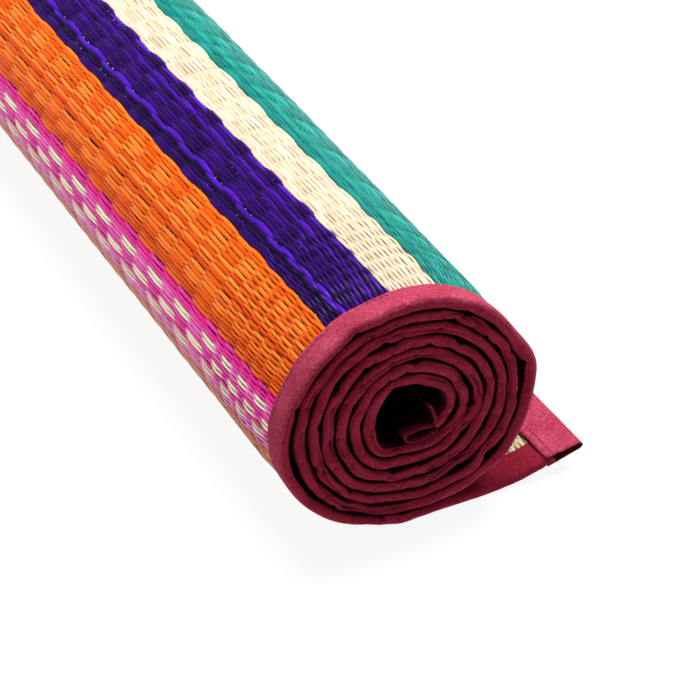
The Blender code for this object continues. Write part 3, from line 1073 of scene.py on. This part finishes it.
def tape_nose(length, lies, outer, inner, shift, seed):
    """The rounded edge between the leaves: places in the section, and how open each is to the light."""
    places, air = [], []
    loose, pucker = lies["loose"], bumps(PUCKERS, lies["turn"])
    middle, half = (outer - inner) / 2 + shift, (outer + inner) / 2 + SLOT
    recess = loose * 0.7 * facets(seed + 8, length / 15.0)
    valley = 7 + 3.5 * hills(seed + 17, length / 33.0)
    folded = smooth(hills(seed + 21, length / 21.0), -0.5, 0.4)
    for k in range(1, NOSE_POINTS + 1):
        angle = math.pi * (0.5 - k / (NOSE_POINTS + 1))
        share, rise = math.cos(angle) ** 0.62, math.copysign(abs(math.sin(angle)) ** 0.8, angle)
        crease = np.clip(1 - 3.6 * abs(hills(seed + 9, length / 9.0, k / 7.0)), 0, 1) * (0.3 + 0.7 * loose)
        soft = hills(seed + 13, length / 4.5, k / 4.0)
        fold = np.exp(-(((k - valley) / 1.1) ** 2)) * folded
        sunk = pucker + recess + 1.15 * crease + 0.3 * soft + 1.3 * fold * (0.25 + 0.75 * loose)
        depth = NOSE * share - sunk * share
        out = middle + half * rise * (1 - 0.05 * pucker + 0.03 * soft)
        places.append((NOSE - depth + 0.25 * (1 - share), out))
        # painted shade: the nose is painted darker towards its rims and in its folds and creases, and at half
        # light on the tail
        rim = smooth(share, 0.3, 0.85) * np.clip(1 - 0.5 * fold - 0.4 * crease, 0, 1) * FACE_LIGHT
        seen = 0.5 * lies["tail"]
        if angle > LIT_FROM:
            seen = lies["outside"] * float(smooth(angle, LIT_FROM, LIT_TO))
        air.append(INSIDE + (1 - INSIDE) * np.maximum(rim, seen))
    return places, air


# %% [markdown]
# ### Sweeping the section
#
# The section closes round the mat's edge with a narrow slot. It is placed at every step along the
# spiral, ring after ring, and the two cut ends are closed. The flat map gives each point its place on
# the strip as it was cut, so the weave of the cloth follows every fold.

# %% Sweeping the side tapes
EDGE_WALL = 2.3  # from the tape's edge to the bottom of its slot, where the mat's edge lies
TAPE_GAP = 0.03  # no tape comes nearer to the floor


def sweep_section(length, ring, end, inwards):
    """The section's points at every place along the roll, and their flat map."""
    points, flat, run = [], [], 0.0
    for k, (back, out) in enumerate(ring):
        x, z = on_line(length, out)
        points.append(np.stack([x, end + inwards * (back + 0 * length), np.maximum(z, TAPE_GAP)], axis=-1))
        if k:
            run += float(np.mean(np.hypot(back - before[0], out - before[1])))
        flat.append(np.stack([length, np.full_like(length, run)], axis=-1))
        before = (back, out)
    return (np.stack(rows, axis=1).reshape(len(length) * len(ring), -1) for rows in (points, flat))


def cut_ends(around, leaf, last_ring):
    """Faces that close a side tape at both ends."""
    low, deep, high, lip = range(around - 4, around)
    caps = [[*range(leaf), high, lip], [*range(leaf - 1, around - 3 - leaf), deep, high]]
    caps += [[*range(around - 4 - leaf, around - 4), low, deep]]
    return [face for cap in caps for face in capped(cap, last_ring)]


def side_tape(name, end, inwards, step, seed):
    """A strip folded over one long side; inwards is 1 or -1, the way from its nose to the mat."""
    length = np.arange(TAPE_FROM, TAPE_TO, step)
    lies = how_it_lies(length)
    shift = 0.6 * facets(seed + 1, length / 10.0) * (1 - 0.6 * lies["last"]) * (1 - lies["tail"])
    outer, inner = tape_walls(length, lies, seed)
    above, above_air = tape_leaf(length, lies, OUTER_LEAF, outer, 1, shift, seed)
    nose, nose_air = tape_nose(length, lies, outer, inner, shift, seed)
    under, under_air = tape_leaf(length, lies, INNER_LEAF, inner, -1, shift, seed)
    slot = ((18.0, -SLOT), (EDGE_WALL, -SLOT), (EDGE_WALL, SLOT), (13.0, SLOT))
    slot = [(back - NARROWER * lies["tail"] * (back == 18.0), out + shift) for back, out in slot]
    ring = above + nose + under + slot
    open_air = above_air + nose_air + under_air + [0 * length] * len(slot)
    points, flat = sweep_section(length, ring, end, inwards)
    faces = tube_faces(len(length), len(ring)).tolist()
    faces += cut_ends(len(ring), len(OUTER_LEAF), (len(length) - 1) * len(ring))
    if inwards > 0:
        faces = [face[::-1] for face in faces]
    made = make_object(name, points, faces, flat)
    give_points(made, "open_air", np.stack(open_air, axis=1).ravel())
    made.data.materials.append(TAPE)
    return made


near_tape = side_tape("near_side_tape", NEAR_END, 1, 1.2, 40)
far_tape = side_tape("far_side_tape", FAR_END, -1, 3.0, 140)
print(f"side tapes: {triangles(near_tape)} and {triangles(far_tape)} triangles")

# %% [markdown]
# ## The end tapes
#
# Wider tape is folded over the two short ends, across the whole width of the mat. Past the mat's
# corners it is empty, so each end of it is an open, flattened loop of cloth. The section is a thin
# wall of cloth that follows the solid's outer skin, swept along the roll with some unevenness.

# %% Folding the end tapes
# How far back from the tip, and the room between mat and cloth on the inside and the outside:
LOOSE_FOLD = ((19.6, 1.3, 1.3), (13.5, 1.3, 1.3), (8.0, 1.1, 1.1), (3.0, 0.9, 0.9))
CORE_FOLD = ((16.0, 1.5, 1.3), (10.5, 3.0, 1.3), (7.5, 3.6, 1.4), (3.5, 2.7, 1.2))
CLOTH = 0.55
BACKS, TURN_PARTS = 9, 12  # how many places a leaf of the fold has, and parts its round end
SEAM_BACK, SEAM_PROUD = 4.2, 0.35  # from the flap's lip to its seam, and how far the seam stands out
RIDE = 0.95  # how high the flap rides over a side tape


def over_side_tape(y):
    """1 where the end tape lies over a side tape, and 0 between the two."""
    return 1 - smooth(from_edge(y), 15.0, 23.0)


def fold_line(fold, skin):
    """A fold's section from lip to lip, as distance from the tip and out, for a skin that far out."""
    depth, inside, outside = fold[-1]
    middle, half = (outside - inside) / 2, (outside + inside) / 2 + skin
    rows = np.array([(back, room) for back, _, room in fold])
    backs = np.linspace(fold[0][0], depth, BACKS)
    line = [(back, np.interp(back, rows[::-1, 0], rows[::-1, 1]) + skin) for back in backs]
    for part in range(1, TURN_PARTS):
        angle = math.pi * part / TURN_PARTS
        line.append((depth - (depth - TAPE_THIN + skin) * math.sin(angle), middle + half * math.cos(angle)))
    rows = np.array([(back, room) for back, room, _ in fold])
    line += [(back, -np.interp(back, rows[::-1, 0], rows[::-1, 1]) - skin) for back in backs[::-1]]
    return np.array(line)


def end_tape(fold, from_tip, seed, flap):
    """Tape folded over one short end, with some unevenness. A flap's lip rides over the side tapes."""
    outer, inner = fold_line(fold, TAPE_THIN), fold_line(fold, TAPE_THIN - CLOTH)
    count, deepest = len(outer), fold[0][0]
    by_corner = np.arange(NEAR_END + 0.4, NEAR_END + 40, 2.0)
    rows = np.concatenate([by_corner, np.arange(NEAR_END + 40, FAR_END, 4.0)])
    run = run_along(outer)
    rings, flat = [], []
    for y in rows:
        ring = []
        curl = 0.5 + 0.35 * hills(seed + 7, y / 13.0)
        for line in (outer, inner[::-1]):
            order = np.arange(count)[:: 1 if line is outer else -1]
            top_leaf = line[:, 1] < 0
            ripple = 0.5 * hills(seed, y / 16.0, order / 4.0) + 0.3 * hills(seed + 3, y / 5.0, order / 2.0)
            lip = smooth(line[:, 0], deepest - 4.0, deepest) * top_leaf
            ride = smooth(line[:, 0], deepest - 8.5, deepest - 5.0) * top_leaf * flap
            seam = np.exp(-(((line[:, 0] - deepest + SEAM_BACK) / 0.9) ** 2)) * top_leaf * flap
            back = line[:, 0] + lip * (0.6 * hills(seed + 5, y / 21.0) + 0.25 * hills(seed + 6, y / 6.0))
            out = line[:, 1] + 0.3 * ripple * (0.4 + top_leaf) * (1 - seam) - lip * flap * curl
            out = out - ride * over_side_tape(y) * RIDE + seam * SEAM_PROUD
            x, z = on_line(from_tip(back), out)
            ring.append(np.stack([x, np.full(count, y), np.maximum(z, TAPE_GAP)], axis=-1))
        rings.append(np.concatenate(ring))
        flat.append(np.stack([np.full(2 * count, y), np.concatenate([run, run[::-1]])], axis=-1))
    around = 2 * count
    faces = tube_faces(len(rows), around).tolist()
    for k in range(count - 1):
        faces += capped([k, k + 1, around - 2 - k, around - 1 - k], (len(rows) - 1) * around)
    inside = np.tile(np.repeat([0.0, 1.0], count), len(rows))
    return np.concatenate(rings), faces, np.concatenate(flat), inside


# %% [markdown]
# ### The lip that came loose
#
# Inside the core one lip of the tape has come away from the mat, and stands up. It is a strip of its
# own in the same object. Down there the light fades fast, so the cloth is darkened with its depth.

# %% The core's end tape
STANDING = ((13.4, -10.6), (12.2, -5.4), (10.9, -1.2), (9.4, 1.2))  # across and up from the core
LIP_PLACES = 10


def standing_lip():
    """The core tape's other lip has come away from the mat, and stands up: a strip folded double."""
    line = np.array([between(STANDING, k) for k in np.linspace(0, len(STANDING) - 1, LIP_PLACES)])
    ahead = np.gradient(line, axis=0)
    aside = np.stack([ahead[:, 1], -ahead[:, 0]], axis=-1) / np.hypot(*ahead.T)[:, None]
    half = 0.5 + 0.12 * np.linspace(0, 1, LIP_PLACES)[:, None]
    section = np.concatenate([line - aside * half, line[-1:] + ahead[-1:] * 0.4, (line + aside * half)[::-1]])
    rows = np.arange(NEAR_END + 0.6, FAR_END, 4.0)
    points = [[(x + CORE[0] + 0.3 * hills(7, y / 9.0), y, z + CORE[1]) for x, z in section] for y in rows]
    around = len(section)
    faces = tube_faces(len(rows), around).tolist() + capped(list(range(around)), (len(rows) - 1) * around)
    run = run_along(section)
    flat = [np.stack([np.full(around, y), run], axis=-1) for y in rows]
    return np.concatenate(points), faces, np.concatenate(flat), np.zeros(around * len(rows))


def end_tape_object(name, parts, air):
    """One object from one or more shells; air says how open each point is to the light."""
    points, faces, flat, inside = parts[0]
    for more_points, more_faces, more_flat, more_inside in parts[1:]:
        faces = faces + [[corner + len(points) for corner in face] for face in more_faces]
        points, flat = np.concatenate([points, more_points]), np.concatenate([flat, more_flat])
        inside = np.concatenate([inside, more_inside])
    made = make_object(name, points, faces, flat)
    give_points(made, "open_air", air(points, inside))
    made.data.materials.append(TAPE)
    return made


def darker_inwards(points, inside):
    """Deep in the core the light fades, and soonest high up."""
    low = smooth(points[:, 2], CORE[1] - 6, CORE[1] - 12)
    depth = (points[:, 1] - NEAR_END) * (2.8 - 1.8 * low)
    return FACE_LIGHT * (1 - smooth(depth, -4.0, 12.0)) * (1 - 0.25 * inside)


loose_shell = end_tape(LOOSE_FOLD, lambda back: TIP - back, 300, 1.0)
core_shell = end_tape(CORE_FOLD, lambda back: back, 400, 0.0)
# painted shade: the inside of the loose end's fold is painted darker than its outside
loose_tape = end_tape_object("loose_end_tape", [loose_shell], lambda points, inside: 1 - 0.72 * inside)
core_tape = end_tape_object("core_end_tape", [core_shell, standing_lip()], darker_inwards)
print(f"end tapes: {triangles(loose_tape)} and {triangles(core_tape)} triangles")

# %% [markdown]
# ## Stitches
#
# The tapes are sewn down by machine with thread a little deeper in colour than the cloth. A stitch
# is a short, round-ended piece of thread, half sunk in the cloth. The stitching tree spaces them
# along a seam and turns each to lie along it.

# %% The stitching tree
STITCH_LONG, STITCH_ROUND, STITCH_SIDES = 2.1, 0.27, 5  # its length and radius, and its sides
STITCH_RINGS = ((-0.5, 0.3), (-0.3, 1.0), (0.3, 1.0), (0.5, 0.3))  # share of the length, and radius


def pattern_stitch():
    """A short piece of thread with rounded ends, lying along Y."""
    points = []
    for place, share in STITCH_RINGS:
        for k in range(STITCH_SIDES):
            angle = 2 * math.pi * k / STITCH_SIDES
            ring = (math.cos(angle) * share, math.sin(angle) * share)
            points.append((ring[0] * STITCH_ROUND, place * STITCH_LONG, ring[1] * STITCH_ROUND))
    first, last = list(range(STITCH_SIDES)), list(range(len(points) - STITCH_SIDES, len(points)))
    faces = tube_faces(len(STITCH_RINGS), STITCH_SIDES).tolist() + [first, last[::-1]]
    return make_object("pattern_stitch", points, [face[::-1] for face in faces])


def stitching_tree():
    """The line of a seam in, its stitches out."""
    sockets = {"Stitch": "Object", "Spacing": "Float", "Thread": "Material"}
    bench, given = new_tree("sew_seam", sockets)
    seam = bench.add("GeometryNodeMeshToCurve", None, {"Mesh": given["Geometry"]})
    values = {"Curve": seam, "Length": given["Spacing"]}
    spots = bench.add("GeometryNodeResampleCurve", {"mode": "LENGTH"}, values)
    tangent = bench.add("GeometryNodeInputTangent")
    turn = bench.add("FunctionNodeAlignRotationToVector", {"axis": "Y"}, {"Vector": tangent})
    values = {"Points": spots, "Instance": geometry_of(bench, given["Stitch"]), "Rotation": turn}
    return close_tree(bench, bench.add("GeometryNodeInstanceOnPoints", None, values), given["Thread"])

# %% Sewing the seams
def tape_seam(end, inwards, leaf, start, stop, side):
    """Places of the seam near the edge of a side tape's leaf."""
    length = np.arange(start, stop, 2.0)
    back, full = leaf
    out = side * (SLOT + wall(length, side) * full - 0.02)
    x, z = on_line(length, out)
    return np.stack([x, np.full_like(x, end + inwards * back), z], axis=-1)


def flap_seam(back, out):
    """Places of the seam near the lip of the loose end's tape, which rides over the side tapes."""
    y = np.arange(NEAR_END + 0.8, FAR_END - 0.8, 1.5)
    x, z = on_line(np.full_like(y, TIP - back), out - RIDE * over_side_tape(y))
    return np.stack([x, y, z], axis=-1)


ROLL_SEAM, TAIL_SEAM = (11.0, 0.53), (12.6, 0.74)  # from the end, and the share of the tape's thickness
SPACING = 3.0
SEWING, stitch = stitching_tree(), pattern_stitch()
seams = {
    "near_roll": tape_seam(NEAR_END, 1, ROLL_SEAM, LAST_TURN, REEL_OUT, 1),
    "far_roll": tape_seam(FAR_END, -1, ROLL_SEAM, LAST_TURN, REEL_OUT, 1),
    "near_tail": tape_seam(NEAR_END, 1, TAIL_SEAM, TAIL_START, TAPE_TO, -1),
    "far_tail": tape_seam(FAR_END, -1, TAIL_SEAM, TAIL_START, TAPE_TO, -1),
    "loose_end": flap_seam(LOOSE_FOLD[0][0] - SEAM_BACK, -2.14),
}
stitches = []
for name, places in seams.items():
    given = {"Stitch": stitch, "Spacing": SPACING * MM, "Thread": STITCH}
    stitches.append(grown(f"stitches_{name}", path_object("seam", places), SEWING, **given))
bpy.data.objects.remove(stitch)
print(f"{len(seams)} seams, {sum(map(triangles, stitches))} triangles")

# %% [markdown]
# ### Frayed ends
#
# Where two seams meet at the flap's corner, the sewing thread was cut and left. Three short ends hang
# there, each a thin tube along a smooth curve through three places.

# %% The frayed threads
FRAYED = (  # from the near corner of the flap, for each thread: three places, across, along and up
    ((-1.2, 1.8, 1.6), (-0.3, -0.9, 0.6), (0.6, -1.9, -0.9)),
    ((0.3, 1.7, 1.6), (0.7, -1.0, 0.4), (2.4, -2.2, -0.6)),
    ((-0.6, 1.5, 1.4), (-0.4, -1.0, 0.2), (1.6, -1.6, -1.3)),
)
FRAYED_RINGS, FRAYED_ROUND = 9, 0.2


def frayed_threads():
    """Thread ends left hanging at the corner where two seams meet."""
    x0, z0 = on_line(np.array([TIP - LOOSE_FOLD[0][0] + 2.6]), np.array([-0.8]))
    points, faces = [], []
    for route in FRAYED:
        middle = [between(route, k) for k in np.linspace(0, 2, FRAYED_RINGS)]
        faces += (tube_faces(len(middle), 4) + len(points)).tolist()
        for across, along, up in middle:
            for side, above in ((1, 0), (0, 1), (-1, 0), (0, -1)):
                x, z = x0[0] + across + FRAYED_ROUND * side, z0[0] + up + FRAYED_ROUND * above
                points.append((x, NEAR_END + 0.6 + along, max(z, FLOOR_GAP)))
        root = len(points) - 4 * FRAYED_RINGS
        faces += [[len(points) - k for k in (1, 2, 3, 4)], [root + k for k in range(4)]]
    made = make_object("frayed_threads", points, faces)
    made.data.materials.append(STITCH)
    return made


stitches.append(frayed_threads())
print(f"frayed threads: {triangles(stitches[-1])} triangles")

# %% [markdown]
# ## What stands for what
#
# Each solid has a piece that stands for it, and each piece rides on the one body.

STANDS_FOR = {
    "mat": mat,
    "side_binding_near": near_tape,
    "side_binding_far": far_tape,
    "end_binding_loose": loose_tape,
    "end_binding_core": core_tape,
}
for node, piece in STANDS_FOR.items():
    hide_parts(node)
for piece in [*STANDS_FOR.values(), *reeds, *warps, *stitches]:
    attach(piece, "root")
print("dressed:", ", ".join(STANDS_FOR))

# %% [markdown]
# ## Floor and light
#
# The roll lies on a plain white surface under one broad, soft light from above, in an even pale
# surrounding light. The floor glows a little by itself, so the shadow on it stays faint.

# %% The studio
FLOOR_REACH = 20000.0  # so far that its edge never shows


def stage_floor():
    """A plain white floor, which isn't part of the object."""
    corners = [(x * FLOOR_REACH, y * FLOOR_REACH, 0) for x, y in ((-1, -1), (1, -1), (1, 1), (-1, 1))]
    floor = make_object("floor", corners, [(0, 1, 2, 3)])
    material, bench, surface, place = new_finish("white_floor")
    grain = bench.noise(place, 40.0, 2.0)
    plug(bench, surface, Base_Color=(0.15, 0.15, 0.15, 1.0), Roughness=grain * 0.1 + 0.85)
    plug(bench, surface, Emission_Color=(1.0, 1.0, 1.0, 1.0), Emission_Strength=0.885, Specular_IOR_Level=0.0)
    floor.data.materials.append(material)


def area_light(name, power, size, place, tilt):
    """A rectangle of light: its power in watts, its size and place in metres, and its tilt in degrees."""
    light = bpy.data.lights.new(name, "AREA")
    light.energy, light.shape, light.size, light.size_y = power, "RECTANGLE", *size
    lamp = bpy.data.objects.new(name, light)
    lamp.location, lamp.rotation_euler = place, [math.radians(degrees) for degrees in tilt]
    bpy.context.scene.collection.objects.link(lamp)


stage_floor()
area_light("overhead", 70, (1.8, 0.8), (0.42, 0.1, 1.68), (0, 14, 0))
world = bpy.data.worlds.new("studio")
world.use_nodes = True
background = world.node_tree.nodes["Background"].inputs
background["Color"].default_value, background["Strength"].default_value = (1.0, 1.0, 1.0, 1.0), 0.40
bpy.context.scene.world = world
bpy.context.scene.view_settings.view_transform = "Standard"

# %% [markdown]
# ## The camera
#
# It looks down at the wound end with a long lens. Its direction is set by two angles, and its place by
# where the core should be in its view: so far to the right, up and ahead.

# %% Setting up the camera
AZIMUTH, ELEVATION, LENS = math.radians(27.614), math.radians(35.939), 122.66
LOOK_AT = Vector((CORE[0] * MM, NEAR_END * MM, CORE[1] * MM))  # the core, at the near end
IN_VIEW = (0.02695, -0.02829, 1.0396)  # where that is, from the camera: right, up and ahead
ahead_flat = Vector((math.sin(AZIMUTH), math.cos(AZIMUTH), 0.0))
right = Vector((math.cos(AZIMUTH), -math.sin(AZIMUTH), 0.0))
ahead = math.cos(ELEVATION) * ahead_flat - math.sin(ELEVATION) * Vector((0, 0, 1))
above = math.sin(ELEVATION) * ahead_flat + math.cos(ELEVATION) * Vector((0, 0, 1))
lens = bpy.data.cameras.new("camera")
lens.lens, lens.clip_start, lens.clip_end = LENS, 0.05, 20.0
camera = bpy.data.objects.new("camera", lens)
eye = LOOK_AT - IN_VIEW[0] * right - IN_VIEW[1] * above - IN_VIEW[2] * ahead
turned = Matrix((right, above, -ahead)).transposed().to_4x4()
camera.matrix_world = Matrix.Translation(eye) @ turned
bpy.context.scene.collection.objects.link(camera)
bpy.context.scene.camera = camera
print("camera at", [round(v, 3) for v in eye])
